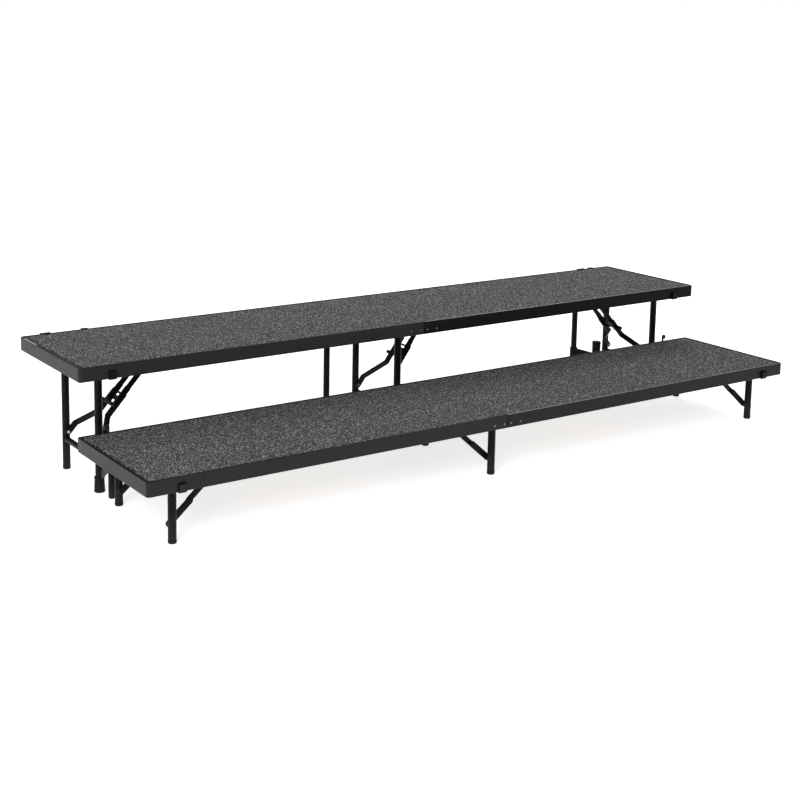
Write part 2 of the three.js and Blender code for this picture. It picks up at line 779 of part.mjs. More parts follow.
const postAcross = backRearLegInset + backLegSpacing / 2 - postInset;
const backFrames = [
  { name: 'left', x: endFrameShift - endFrameX, turned: false, reach: backBraceReach },
  {
    name: 'centre',
    x: backCentreShift,
    turned: false,
    reach: backCentreBraceReach,
    post: { x: centrePostShift - backCentreShift, y: postAcross },
  },
  {
    name: 'right',
    x: endFrameShift + endFrameX,
    turned: true,
    reach: backBraceReach,
    post: { x: endFrameShift + endFrameX - rightPostX, y: -postAcross },
  },
];

const riser = new THREE.Group();
riser.name = 'choir_riser';

const frontGroup = new THREE.Group();
frontGroup.position.y = frontDeckMidY;
riser.add(frontGroup);
addDeck(frontGroup, front);
for (const frame of frontFrames) {
  addLegFrame(frontGroup, front, frame);
}
for (const [name, side, inset] of [['left', -1, leftTieInset], ['right', 1, rightTieInset]]) {
  const tieX = side * (deckLength / 2 - inset);
  const tieY = deckDepth / 2 + fitGap + tieRadius;
  place(frontGroup, `tie_post_${name}`, tiePostSolid(side, inset), blackSteel, [tieX, tieY, 0]);
}

const backGroup = new THREE.Group();
backGroup.position.y = backDeckMidY;
riser.add(backGroup);
addDeck(backGroup, back);
for (const frame of backFrames) {
  addLegFrame(backGroup, back, frame);
}
const postPivotHeight = backDeckTop - postPivotDrop;
const postY = deckDepth / 2 - postInset;
place(backGroup, 'support_post_centre', supportPostSolid(postPivotHeight, true), blackSteel,
  [centrePostShift, postY, postPivotHeight]);
place(backGroup, 'support_post_right', supportPostSolid(postPivotHeight, false), blackSteel,
  [rightPostX, postY, postPivotHeight]);
place(backGroup, 'outrigger_foot_right', outriggerSolid(), blackSteel, [rightPostX, postY, 0]);

export default riser;
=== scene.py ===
import json
import math

import bpy
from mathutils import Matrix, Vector


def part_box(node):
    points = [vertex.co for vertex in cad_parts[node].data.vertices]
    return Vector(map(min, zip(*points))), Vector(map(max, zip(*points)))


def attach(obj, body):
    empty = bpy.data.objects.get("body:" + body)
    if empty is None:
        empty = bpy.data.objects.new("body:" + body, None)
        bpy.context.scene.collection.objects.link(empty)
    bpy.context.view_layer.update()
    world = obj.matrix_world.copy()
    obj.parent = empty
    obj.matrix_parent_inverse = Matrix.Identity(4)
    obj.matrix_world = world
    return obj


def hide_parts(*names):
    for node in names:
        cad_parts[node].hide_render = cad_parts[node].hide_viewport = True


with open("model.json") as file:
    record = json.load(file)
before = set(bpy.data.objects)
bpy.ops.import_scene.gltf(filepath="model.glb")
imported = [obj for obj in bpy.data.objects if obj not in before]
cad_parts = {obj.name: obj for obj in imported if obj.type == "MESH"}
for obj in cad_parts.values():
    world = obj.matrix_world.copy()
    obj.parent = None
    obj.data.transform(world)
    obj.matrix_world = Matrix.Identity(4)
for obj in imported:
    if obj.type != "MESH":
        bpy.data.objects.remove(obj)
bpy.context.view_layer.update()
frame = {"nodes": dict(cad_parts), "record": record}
nodes = frame["nodes"]
print("stage: frame loaded,", len(nodes), "nodes")

# Camera, fitted to the corners of both decks in a square picture
cameraFit = {
    "pictureSize": 800,
    "focalPixels": 1410.77,
    "centrePixel": (360.0, 240.0),
    "spot": (-2.7067, -3.60415, 1.4041),
    "yaw": -0.59349,
    "pitch": 0.16201,
    "roll": 0.01477,
    "sensorWidth": 36,
    "farClip": 60,
}


def placeCamera():
    yaw, pitch, roll = cameraFit["yaw"], cameraFit["pitch"], cameraFit["roll"]
    size, centre = cameraFit["pictureSize"], cameraFit["centrePixel"]
    level = math.cos(pitch)
    ahead = Vector((-math.sin(yaw) * level, math.cos(yaw) * level, -math.sin(pitch)))
    right = Vector((math.cos(yaw), math.sin(yaw), 0))
    up = right.cross(ahead)
    rolledRight = right * math.cos(roll) + up * math.sin(roll)
    rolledUp = up * math.cos(roll) - right * math.sin(roll)
    data = bpy.data.cameras.new("photoCamera")
    data.sensor_width = cameraFit["sensorWidth"]
    data.lens = cameraFit["focalPixels"] * cameraFit["sensorWidth"] / size
    data.shift_x = (size / 2 - centre[0]) / size
    data.shift_y = (centre[1] - size / 2) / size
    data.clip_end = cameraFit["farClip"]
    camera = bpy.data.objects.new("photoCamera", data)
    bpy.context.scene.collection.objects.link(camera)
    turn = camera.matrix_world.to_3x3()
    for row in range(3):
        turn[row] = (rolledRight[row], rolledUp[row], -ahead[row])
    camera.matrix_world = turn.to_4x4()
    camera.location = cameraFit["spot"]
    bpy.context.scene.camera = camera


placeCamera()
print("stage: camera placed")


# Node helpers
def newMaterial(name):
    material = bpy.data.materials.new(name)
    material.use_nodes = True
    tree = material.node_tree
    tree.nodes.clear()
    return material, tree


# Each socket takes a value, or a link from another node's output
def addNode(tree, kind, sockets=(), **options):
    node = tree.nodes.new(kind)
    for key, value in options.items():
        setattr(node, key, value)
    for key, value in dict(sockets).items():
        if isinstance(value, bpy.types.NodeSocket):
            tree.links.new(value, node.inputs[key])
        else:
            node.inputs[key].default_value = value
    return node


def objectPlace(tree):
    return addNode(tree, "ShaderNodeTexCoord").outputs["Object"]


def addNoise(tree, place, scale, detail, **others):
    sockets = {"Vector": place, "Scale": scale, "Detail": detail, **others}
    return addNode(tree, "ShaderNodeTexNoise", sockets).outputs["Fac"]


def addMath(tree, operation, *inputs, **options):
    node = addNode(tree, "ShaderNodeMath", enumerate(inputs), operation=operation, **options)
    return node.outputs[0]


def addRange(tree, value, sockets):
    return addNode(tree, "ShaderNodeMapRange", {"Value": value, **sockets}).outputs["Result"]


# On a colour mix, input 0 is the factor, 6 and 7 are the colours, and output 2 is the result
def mixColours(tree, factor, first, second, blend="MIX"):
    sockets = {0: factor, 6: first, 7: second}
    return addNode(tree, "ShaderNodeMix", sockets, data_type="RGBA", blend_type=blend).outputs[2]


def addBump(tree, height, strength, distance, **options):
    sockets = {"Height": height, "Strength": strength, "Distance": distance}
    return addNode(tree, "ShaderNodeBump", sockets, **options).outputs["Normal"]


def finishMaterial(tree, shader):
    addNode(tree, "ShaderNodeOutputMaterial", {"Surface": shader.outputs[0]})


def newGroup(name, inputs, outputs):
    group = bpy.data.node_groups.new(name, "ShaderNodeTree")
    for label, value in inputs.items():
        socket = group.interface.new_socket(
            name=label, in_out="INPUT", socket_type="NodeSocketFloat")
        socket.default_value = value
    for label in outputs:
        group.interface.new_socket(name=label, in_out="OUTPUT", socket_type="NodeSocketFloat")
    start = group.nodes.new("NodeGroupInput")
    return group, start.outputs, objectPlace(group)


# Scuffs: soft patches and fine scratches, as a mask from 0 to 1
def makeScuffGroup():
    scratchShare = 0.5
    group, given, place = newGroup(
        "scuffs", {"Patch Scale": 9.0, "Scratch Scale": 60.0, "Amount": 0.4}, ["Mask"])
    patch = addNoise(group, place, given["Patch Scale"], detail=5.0, Roughness=0.6)
    stretch = addNode(group, "ShaderNodeMapping", {
        "Vector": place, "Scale": (1.0, 1.3, 0.12), "Rotation": (0.5, 0.3, 0.2)})
    scratch = addNoise(group, stretch.outputs["Vector"], given["Scratch Scale"], detail=3.0,
                       Roughness=0.7)
    wide = addRange(group, patch, {"From Min": 0.5, "From Max": 0.72})
    thin = addRange(group, scratch, {"From Min": 0.62, "From Max": 0.7})
    both = addMath(group, "MULTIPLY_ADD", thin, scratchShare, wide)
    mask = addMath(group, "MULTIPLY", both, given["Amount"], use_clamp=True)
    addNode(group, "NodeGroupOutput", {"Mask": mask})
    return group


# Paint skin: the fine orange peel of sprayed enamel, as a height
def makePaintSkinGroup():
    peelShare = 0.6
    group, given, place = newGroup(
        "paintSkin", {"Peel Scale": 900.0, "Wave Scale": 110.0}, ["Height"])
    peel = addNoise(group, place, given["Peel Scale"], detail=2.0, Roughness=0.5)
    wave = addNoise(group, place, given["Wave Scale"], detail=1.0, Roughness=0.4)
    height = addMath(group, "MULTIPLY_ADD", peel, peelShare, wave)
    addNode(group, "NodeGroupOutput", {"Height": height})
    return group


# Floor dust: a mask that is strongest near the ground
def makeDustGroup():
    group, given, place = newGroup("floorDust", {"Top": 0.08, "Amount": 0.5}, ["Mask"])
    split = addNode(group, "ShaderNodeSeparateXYZ", {0: place})
    fade = addRange(group, split.outputs["Z"], {
        "From Min": 0.0, "From Max": given["Top"], "To Min": 1.0, "To Max": 0.0})
    cloud = addNoise(group, place, scale=45.0, detail=6.0, Roughness=0.7)
    mixed = addMath(group, "MULTIPLY", fade, cloud)
    mask = addMath(group, "MULTIPLY", mixed, given["Amount"], use_clamp=True)
    addNode(group, "NodeGroupOutput", {"Mask": mask})
    return group


scuffGroup = makeScuffGroup()
skinGroup = makePaintSkinGroup()
dustGroup = makeDustGroup()


# The sRGB curve
def linearOf(level):
    share = level / 255
    return share / 12.92 if share <= 0.04045 else ((share + 0.055) / 1.055) ** 2.4


# A colour from its sRGB levels of 0 to 255
def colourOf(levels):
    return tuple(linearOf(level) for level in levels) + (1,)


def scuffMask(tree, patchScale, scratchScale, amount):
    sockets = {"Patch Scale": patchScale, "Scratch Scale": scratchScale, "Amount": amount}
    return addNode(tree, "ShaderNodeGroup", sockets, node_tree=scuffGroup).outputs["Mask"]


def dustMask(tree, top, amount):
    sockets = {"Top": top, "Amount": amount}
    return addNode(tree, "ShaderNodeGroup", sockets, node_tree=dustGroup).outputs["Mask"]


# Paints: clean and worn colour, roughness, specular level, and strength of scuffs, dust and peel
paintKeys = ("clean", "worn", "roughness", "gloss", "scuffs", "dust", "peel")
paints = {
    "rimPaint": ((38, 40, 40), (56, 57, 56), 0.36, 0.14, 0.3, 0.0, 0.22),
    # The next two are darker copies of the rim paint for the right halves: painted shade
    "darkRimPaint": ((34, 36, 36), (50, 51, 50), 0.36, 0.115, 0.3, 0.0, 0.22),
    "blackRimPaint": ((20, 21, 21), (34, 35, 34), 0.36, 0.06, 0.3, 0.0, 0.22),
    "framePaint": ((12, 13, 13), (26, 26, 25), 0.32, 0.1, 0.3, 0.25, 0.25),
    "fittingPaint": ((7, 7, 8), (26, 26, 25), 0.3, 0.1, 0.35, 0.0, 0.25),
    "linkPaint": ((40, 40, 40), (70, 69, 66), 0.42, 0.3, 0.5, 0.3, 0.3),
    # A pale glossy lip paint: a painted highlight along the outer edge of the right halves' lips
    "lipPaint": ((100, 100, 99), (76, 76, 74), 0.3, 0.5, 0.3, 0.0, 0.1),
    "weldPaint": ((11, 11, 11), (36, 35, 34), 0.46, 0.25, 0.4, 0.2, 0.8),
}
paintWear = {"dustColour": (120, 116, 108), "dustTop": 0.09, "scuffRoughness": 0.35,
             "patchScale": 11.0, "scratchScale": 70.0, "peelDepth": 0.0004}


def paintedSteel(name):
    look = dict(zip(paintKeys, paints[name]))
    material, tree = newMaterial(name)
    mask = scuffMask(tree, paintWear["patchScale"], paintWear["scratchScale"], look["scuffs"])
    dust = dustMask(tree, paintWear["dustTop"], look["dust"])
    scuffed = mixColours(tree, mask, colourOf(look["clean"]), colourOf(look["worn"]))
    dusty = mixColours(tree, dust, scuffed, colourOf(paintWear["dustColour"]))
    roughness = addRange(tree, mask, {
        "To Min": look["roughness"], "To Max": look["roughness"] + paintWear["scuffRoughness"]})
    skin = addNode(tree, "ShaderNodeGroup", node_tree=skinGroup).outputs["Height"]
    finishMaterial(tree, addNode(tree, "ShaderNodeBsdfPrincipled", {
        "Base Color": dusty, "Metallic": 0.0, "Roughness": roughness,
        "Specular IOR Level": look["gloss"],
        "Normal": addBump(tree, skin, look["peel"], paintWear["peelDepth"])}))
    return material


rubber = {"clean": (14, 14, 14), "dusty": (80, 77, 72), "dustTop": 0.03, "dust": 0.3}


def plainRubber():
    material, tree = newMaterial("footRubber")
    dust = dustMask(tree, rubber["dustTop"], rubber["dust"])
    colour = mixColours(tree, dust, colourOf(rubber["clean"]), colourOf(rubber["dusty"]))
    grain = addNoise(tree, objectPlace(tree), scale=700.0, detail=3.0)
    finishMaterial(tree, addNode(tree, "ShaderNodeBsdfPrincipled", {
        "Base Color": colour, "Roughness": 0.62, "Specular IOR Level": 0.2,
        "Normal": addBump(tree, grain, strength=0.4, distance=0.0003)}))
    return material


# A colour ramp through stops of place and levels
def addRamp(tree, value, stops):
    ramp = addNode(tree, "ShaderNodeValToRGB", {"Fac": value})
    elements = ramp.color_ramp.elements
    for element, (at, levels) in zip(elements, (stops[0], stops[-1])):
        element.position = at
        element.color = colourOf(levels)
    for at, levels in stops[1:-1]:
        elements.new(at).color = colourOf(levels)
    return ramp.outputs["Color"]


wood = {"grain": (0.6, 9.0, 9.0), "stops": ((0.3, (104, 80, 52)), (0.72, (160, 132, 94)))}


def boardWood():
    material, tree = newMaterial("boardWood")
    sockets = {"Vector": objectPlace(tree), "Scale": wood["grain"]}
    stretch = addNode(tree, "ShaderNodeMapping", sockets).outputs["Vector"]
    grain = addNoise(tree, stretch, scale=6.0, detail=8.0, Roughness=0.65, Distortion=0.8)
    finishMaterial(tree, addNode(tree, "ShaderNodeBsdfPrincipled", {
        "Base Color": addRamp(tree, grain, wood["stops"]), "Roughness": 0.75,
        "Normal": addBump(tree, grain, strength=0.25, distance=0.0005)}))
    return material


# Plated steel: clean and dull colour of each finish
plating = {
    "platedSteel": ((104, 103, 101), (70, 68, 65)),
    # A bright copy of the plating, used only as a painted highlight on the back left lip and the
    # back left frame's pins
    "brightSteel": ((214, 213, 210), (150, 148, 144)),
}
platingScuffs = {"patchScale": 60.0, "scratchScale": 300.0, "amount": 0.6}


def platedSteel(name):
    clean, dull = plating[name]
    material, tree = newMaterial(name)
    mask = scuffMask(tree, **platingScuffs)
    finishMaterial(tree, addNode(tree, "ShaderNodeBsdfPrincipled", {
        "Base Color": mixColours(tree, mask, colourOf(clean), colourOf(dull)),
        "Metallic": 0.9, "Roughness": 0.38}))
    return material


# Carpet pile: ragged dark and pale tufts of rounded yarn, each loop painted darker towards its
# edge as painted shade, with slow tone changes
pile = {
    "ragged": (0.0028, 0.0028, 0),
    "tuftScale": 430.0,
    "yarnScale": 620.0,
    "tuftStops": ((0.0, (4, 4, 5)), (0.4, (14, 14, 14)), (0.66, (44, 44, 44)),
                  (0.84, (112, 112, 112)), (0.93, (180, 180, 180)), (1.0, (240, 240, 237))),
    # Yarn loops lighter in the middle and darker at the edge: painted shade
    "yarnLight": {"From Max": 0.65, "To Min": 1.3, "To Max": 0.55},
    "shade": {"From Max": 2.6, "To Min": 0.6, "To Max": 1.44},
    "fibreShare": 1.6,
    "fibreHeight": 0.5,
    "bumpStrength": 0.7,
    "bumpDepth": 0.0012,
}


def addCells(tree, place, scale, randomness):
    sockets = {"Vector": place, "Scale": scale, "Randomness": randomness}
    return addNode(tree, "ShaderNodeTexVoronoi", sockets, voronoi_dimensions="2D").outputs


def carpetPile():
    material, tree = newMaterial("carpetPile")
    place = objectPlace(tree)
    ragged = addNode(tree, "ShaderNodeTexNoise", {
        "Vector": place, "Scale": 700.0, "Detail": 4.0, "Roughness": 0.75})
    pushed = addNode(tree, "ShaderNodeVectorMath", {
        0: ragged.outputs["Color"], 1: pile["ragged"], 2: place}, operation="MULTIPLY_ADD")
    pushedPlace = pushed.outputs[0]
    tufts = addCells(tree, pushedPlace, pile["tuftScale"], randomness=1.0)["Color"]
    tuftShare = addNode(tree, "ShaderNodeSeparateColor", {0: tufts}).outputs["Red"]
    flecks = addRamp(tree, tuftShare, pile["tuftStops"])
    yarn = addCells(tree, pushedPlace, pile["yarnScale"], randomness=0.9)["Distance"]
    slow = addNoise(tree, place, scale=7.0, detail=5.0, Roughness=0.6)
    fibre = addNoise(tree, place, scale=1400.0, detail=4.0, Roughness=0.8)
    uneven = addMath(tree, "MULTIPLY_ADD", fibre, pile["fibreShare"], slow)
    # Random tone times the yarn loops' painted shade, lighter in the middle and darker at the edge
    woven = addMath(tree, "MULTIPLY", addRange(tree, uneven, pile["shade"]),
                    addRange(tree, yarn, pile["yarnLight"]))
    height = addMath(tree, "MULTIPLY_ADD", fibre, pile["fibreHeight"], yarn)
    finishMaterial(tree, addNode(tree, "ShaderNodeBsdfPrincipled", {
        "Base Color": mixColours(tree, 1, flecks, woven, "MULTIPLY"),
        "Roughness": 0.95, "Specular IOR Level": 0.2, "Sheen Weight": 0.15, "Sheen Roughness": 0.5,
        "Normal": addBump(tree, height, pile["bumpStrength"], pile["bumpDepth"], invert=True)}))
    return material


rimPaint = paintedSteel("rimPaint")
darkRimPaint = paintedSteel("darkRimPaint")
blackRimPaint = paintedSteel("blackRimPaint")
framePaint = paintedSteel("framePaint")
fittingPaint = paintedSteel("fittingPaint")
linkPaint = paintedSteel("linkPaint")
lipPaint = paintedSteel("lipPaint")
weldPaint = paintedSteel("weldPaint")
rubberFinish = plainRubber()
woodFinish = boardWood()
rivetFinish = platedSteel("platedSteel")
highlightFinish = platedSteel("brightSteel")
carpetFinish = carpetPile()
finishOf = {
    "steel": rimPaint,
    "black_steel": framePaint,
    "plywood": woodFinish,
    "carpet": carpetFinish,
    "rivet": rivetFinish,
    "rubber": rubberFinish,
}
slotOf = {part["node"]: part["material_slot"] for part in frame["record"]["subparts"]}
bodyOf = {name: body for body, carried in frame["record"]["behaviour"]["bodies"].items()
          for name in carried}
for name, node in nodes.items():
    node.data.materials.clear()
    node.data.materials.append(finishOf[slotOf[name]])
print("stage: materials made")

# Modelling helpers: angles in degrees, lengths in metres
modelling = {"easeAngle": 42, "easeSteps": 2, "normalWeight": 80, "mergeGap": 0.00001,
             "flatAngle": 1}
bpy.ops.object.select_all(action="DESELECT")


def selectOnly(pieces):
    bpy.ops.object.select_all(action="DESELECT")
    for piece in pieces:
        piece.select_set(True)
    bpy.context.view_layer.objects.active = pieces[0]


def applyModifier(piece, kind, **values):
    selectOnly([piece])
    bpy.ops.object.modifier_add(type=kind)
    modifier = piece.modifiers[-1]
    for key, value in values.items():
        setattr(modifier, key, value)
    bpy.ops.object.modifier_apply(modifier=modifier.name)


def applyPlace():
    bpy.ops.object.transform_apply(location=True, rotation=True, scale=True)


def easeEdges(piece, width):
    applyModifier(piece, "BEVEL", width=width, segments=modelling["easeSteps"],
                  limit_method="ANGLE", angle_limit=math.radians(modelling["easeAngle"]),
                  use_clamp_overlap=True)


def paint(piece, *finishes):
    piece.data.materials.clear()
    for finish in finishes:
        piece.data.materials.append(finish)
    return piece


# Gives the chosen faces the second of the piece's finishes
def refinish(piece, isChosen):
    for face in piece.data.polygons:
        if isChosen(face):
            face.material_index = 1


# The turn that brings Z to a direction
def turnTo(along):
    return Vector(along).to_track_quat("Z", "Y").to_euler()


def roundBar(start, end, radius, finish, ease=0.0008, sides=28, ends="NGON"):
    start, end = Vector(start), Vector(end)
    bpy.ops.mesh.primitive_cylinder_add(
        vertices=sides, radius=radius, depth=(end - start).length, location=(start + end) / 2,
        rotation=turnTo(end - start), end_fill_type=ends)
    piece = bpy.context.active_object
    if ease:
        easeEdges(piece, ease)
    return paint(piece, finish)


# An open tube with a wall, as the leg ends show it
def tubeBar(start, end, radius, wall, finish, sides):
    piece = roundBar(start, end, radius, finish, 0, sides, "NOTHING")
    applyModifier(piece, "SOLIDIFY", thickness=wall, offset=-1, use_rim=True)
    return piece


weld = {"ringSteps": 36, "tubeSteps": 8, "narrowing": 0.28, "flattening": 0.72}


# A bead of weld round a joint, with every other ring of it drawn in as a ripple
def weldBead(spot, along, radius, thickness):
    bpy.ops.mesh.primitive_torus_add(
        major_segments=weld["ringSteps"], minor_segments=weld["tubeSteps"], major_radius=radius,
        minor_radius=thickness, location=spot, rotation=turnTo(along))
    piece = bpy.context.active_object
    for point in piece.data.vertices:
        step = round(math.atan2(point.co.y, point.co.x) / math.tau * weld["ringSteps"])
        if step % 2:
            across = math.hypot(point.co.x, point.co.y)
            share = 1 - weld["narrowing"] * (across - radius) / across
            point.co.x *= share
            point.co.y *= share
            point.co.z *= weld["flattening"]
    return paint(piece, weldPaint)


# A turned piece: a disc is drawn up through rings of radius and height
def turnedPiece(rings, finish, sides=32, centre=(0, 0)):
    x, y = centre
    bpy.ops.mesh.primitive_circle_add(
        vertices=sides, radius=rings[0][0], fill_type="NGON", location=(x, y, rings[0][1]))
    piece = bpy.context.active_object
    applyPlace()
    bpy.ops.object.mode_set(mode="EDIT")
    bpy.ops.mesh.select_all(action="SELECT")
    for (lastRadius, lastHeight), (radius, height) in zip(rings, rings[1:]):
        rise = {"value": (0, 0, height - lastHeight)}
        bpy.ops.mesh.extrude_region_move(TRANSFORM_OT_translate=rise)
        share = radius / lastRadius
        bpy.ops.transform.resize(value=(share, share, 1), center_override=(x, y, height))
    bpy.ops.mesh.select_all(action="SELECT")
    bpy.ops.mesh.normals_make_consistent(inside=False)
    bpy.ops.object.mode_set(mode="OBJECT")
    return paint(piece, finish)


# A low rivet or pin head on a face, from rings as shares of its radius and height
domeShares = ((1, 0), (1, 0.3), (0.92, 0.62), (0.7, 0.88), (0.38, 1))


def domeHead(spot, along, radius, height, finish):
    rings = [(radius * wide, height * high) for wide, high in domeShares]
    piece = turnedPiece(rings, finish, sides=24)
    piece.rotation_euler = turnTo(along)
    piece.location = spot
    return piece


# A flat bar with its width upright
def flatBar(start, end, width, thickness, finish, ease=0.0007):
    start, end = Vector(start), Vector(end)
    along = (end - start).normalized()
    across = Vector((0, 0, 1))
    across = (across - along * across.dot(along)).normalized()
    through = across.cross(along)
    bpy.ops.mesh.primitive_cube_add(size=1)
    piece = bpy.context.active_object
    piece.scale = ((end - start).length, thickness, width)
    applyPlace()
    turn = piece.matrix_world.to_3x3()
    for row in range(3):
        turn[row] = (along[row], through[row], across[row])
    place = turn.to_4x4()
    place.translation = (start + end) / 2
    piece.matrix_world = place
    easeEdges(piece, ease)
    return paint(piece, finish)


# Rounded edges shade smoothly and flat faces stay flat
def smoothShade(piece, degrees):
    selectOnly([piece])
    bpy.ops.object.shade_smooth_by_angle(angle=math.radians(degrees))
    applyModifier(piece, "WEIGHTED_NORMAL", keep_sharp=True, weight=modelling["normalWeight"])


def rename(piece, name):
    piece.name = name
    piece.data.name = name


def joinPieces(name, pieces, smooth=38):
    for piece in pieces:
        selectOnly([piece])
        applyPlace()
    selectOnly(pieces)
    if len(pieces) > 1:
        bpy.ops.object.join()
    whole = bpy.context.active_object
    rename(whole, name)
    smoothShade(whole, smooth)
    return whole


# A copy of a finished model with its own mesh, set at a place and half turned if need be
def copyTo(model, name, spot, turned=False):
    piece = model.copy()
    piece.data = model.data.copy()
    bpy.context.scene.collection.objects.link(piece)
    rename(piece, name)
    piece.location = spot
    piece.rotation_euler = (0, 0, math.pi if turned else 0)
    selectOnly([piece])
    applyPlace()
    return piece


def standIn(piece, node):
    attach(piece, bodyOf[node])
    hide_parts(node)


def discard(model):
    bpy.data.objects.remove(model, do_unlink=True)


# front_rim_left becomes frontRimLeft
def camelName(node):
    first, *others = node.split("_")
    return first + "".join(word.title() for word in others)


def centreOf(node):
    low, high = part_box(node)
    return (low + high) / 2


# A merged copy of a CAD node, with its flat faces cleaned and its edges eased
def refinedCopy(node, ease, smooth=38):
    piece = nodes[node].copy()
    piece.data = nodes[node].data.copy()
    piece.parent = None
    bpy.context.scene.collection.objects.link(piece)
    for key in list(piece.keys()):
        del piece[key]
    rename(piece, camelName(node))
    selectOnly([piece])
    bpy.ops.object.mode_set(mode="EDIT")
    bpy.ops.mesh.select_all(action="SELECT")
    bpy.ops.mesh.remove_doubles(threshold=modelling["mergeGap"])
    bpy.ops.mesh.dissolve_limited(angle_limit=math.radians(modelling["flatAngle"]))
    bpy.ops.object.mode_set(mode="OBJECT")
    if ease:
        easeEdges(piece, ease)
    smoothShade(piece, smooth)
    return piece


# Places that several pieces share. The turned frames fold the other way
sections = {
    "front": {
        "top": 0.2032, "middle": -0.2149, "legMiddle": -0.2104, "legSpacing": 0.3382,
        "pinHeight": 0.048, "armInset": 0.019, "railHeight": 0, "turned": ("centre", "right"),
        "frameX": {"left": -1.1175, "centre": -0.034, "right": 1.1265},
    },
    "back": {
        "top": 0.4064, "middle": 0.2169, "legMiddle": 0.2184, "legSpacing": 0.2482,
        "pinHeight": 0.121, "armInset": 0.018, "railHeight": 0.095, "turned": ("right",),
        "frameX": {"left": -1.1175, "centre": -0.055, "right": 1.1265},
    },
}
pivotDrop = 0.03615  # from a deck's top down to its leg pivots

# Carpets: a grid laid on the board, its edges rolled down in steps of outwards and down
carpet = {
    "cell": 0.005,
    "rollSteps": ((0.0012, 0.0005), (0.0009, 0.0013), (0.0005, 0.0022)),
    "leftGap": 0.0085,
    "rightGap": 0.0025,
    "pileLift": 0.0007,
    "pileSize": 0.012,
    "pileDepth": 2,
    "smooth": 50,
}


def makeCarpet(section):
    node = section + "_carpet"
    low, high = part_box(node)
    low.x += carpet["leftGap"]
    high.x -= carpet["rightGap"]
    outward = sum(step[0] for step in carpet["rollSteps"])
    cut = (high.x - low.x, high.y - low.y)
    width, depth = cut[0] - 2 * outward, cut[1] - 2 * outward
    middle = (low + high) / 2
    top = high.z - carpet["pileLift"] / 2
    bpy.ops.mesh.primitive_grid_add(
        x_subdivisions=round(width / carpet["cell"]), y_subdivisions=round(depth / carpet["cell"]),
        size=1, location=(middle.x, middle.y, top))
    piece = bpy.context.active_object
    piece.scale = (width, depth, 1)
    applyPlace()
    clouds = bpy.data.textures.new(section + "Pile", "CLOUDS")
    clouds.noise_scale = carpet["pileSize"]
    clouds.noise_depth = carpet["pileDepth"]
    applyModifier(piece, "DISPLACE", texture=clouds, texture_coords="GLOBAL", direction="Z",
                  strength=carpet["pileLift"], mid_level=0.5)
    bpy.ops.object.mode_set(mode="EDIT")
    bpy.ops.mesh.select_mode(type="EDGE")
    bpy.ops.mesh.select_all(action="DESELECT")
    bpy.ops.mesh.select_non_manifold(extend=False)
    for outwards, down in carpet["rollSteps"]:
        bpy.ops.mesh.extrude_region_move(TRANSFORM_OT_translate={"value": (0, 0, -down)})
        share = ((width + 2 * outwards) / width, (depth + 2 * outwards) / depth, 1)
        bpy.ops.transform.resize(value=share, center_override=(middle.x, middle.y, top))
        width, depth = width + 2 * outwards, depth + 2 * outwards
    rolled = sum(step[1] for step in carpet["rollSteps"])
    toBoard = {"value": (0, 0, low.z - top + rolled)}
    bpy.ops.mesh.extrude_region_move(TRANSFORM_OT_translate=toBoard)
    bpy.ops.mesh.edge_face_add()
    bpy.ops.mesh.select_all(action="SELECT")
    bpy.ops.mesh.normals_make_consistent(inside=False)
    bpy.ops.mesh.select_mode(type="VERT")
    bpy.ops.object.mode_set(mode="OBJECT")
    rename(piece, camelName(node))
    paint(piece, carpetFinish)
    bpy.ops.object.shade_smooth_by_angle(angle=math.radians(carpet["smooth"]))
    standIn(piece, node)


for section in sections:
    makeCarpet(section)
print("stage: carpets laid")

# Boards: bare wood below, and black on top as painted shade in the gap beside the carpet
boards = {"ease": 0.0006, "smooth": 30, "upward": 0.5}
for section in sections:
    node = section + "_deck_board"
    board = paint(refinedCopy(node, boards["ease"], boards["smooth"]), woodFinish, fittingPaint)
    refinish(board, lambda face: face.normal.z > boards["upward"])
    standIn(board, node)
print("stage: boards made")

# Rims: a folded steel ring with a black lip as painted shade of the groove beside the carpet, and
# a black strip along the seam. Locators and lugs are black too, but for the grey face of the front
# left locator, whose black sides are a painted shade outline. The right halves are painted darker
# as painted shade, and their lips are pale at their outer edge as a painted highlight; the back
# left lip has a bright patch near its rear corner as a painted highlight
rims = {
    "ease": 0.0005, "smooth": 35, "upward": 0.5, "forward": 0.9,
    "halfLength": 1.2192, "halfDepth": 0.2286,
    "proud": 0.0006, "lugRise": 0.0004, "seamStrip": 0.0016,
    "lipWidth": 0.007, "lipDepth": 0.0006, "lipEdge": 0.0057, "wornFrom": 0.030, "wornTo": 0.130,
    # The right halves take the darker paints as painted shade
    "paint": {"front_rim_left": rimPaint, "front_rim_right": darkRimPaint,
              "back_rim_left": rimPaint, "back_rim_right": blackRimPaint},
    "slots": {"black": 1, "bright": 2, "pale": 3},
}


# Cuts across the whole piece, so that parts of its lip can take another finish
def cutAcross(piece, cuts):
    selectOnly([piece])
    bpy.ops.object.mode_set(mode="EDIT")
    for spot, normal in cuts:
        bpy.ops.mesh.select_all(action="SELECT")
        bpy.ops.mesh.bisect(plane_co=spot, plane_no=normal)
    bpy.ops.mesh.select_all(action="DESELECT")
    bpy.ops.object.mode_set(mode="OBJECT")


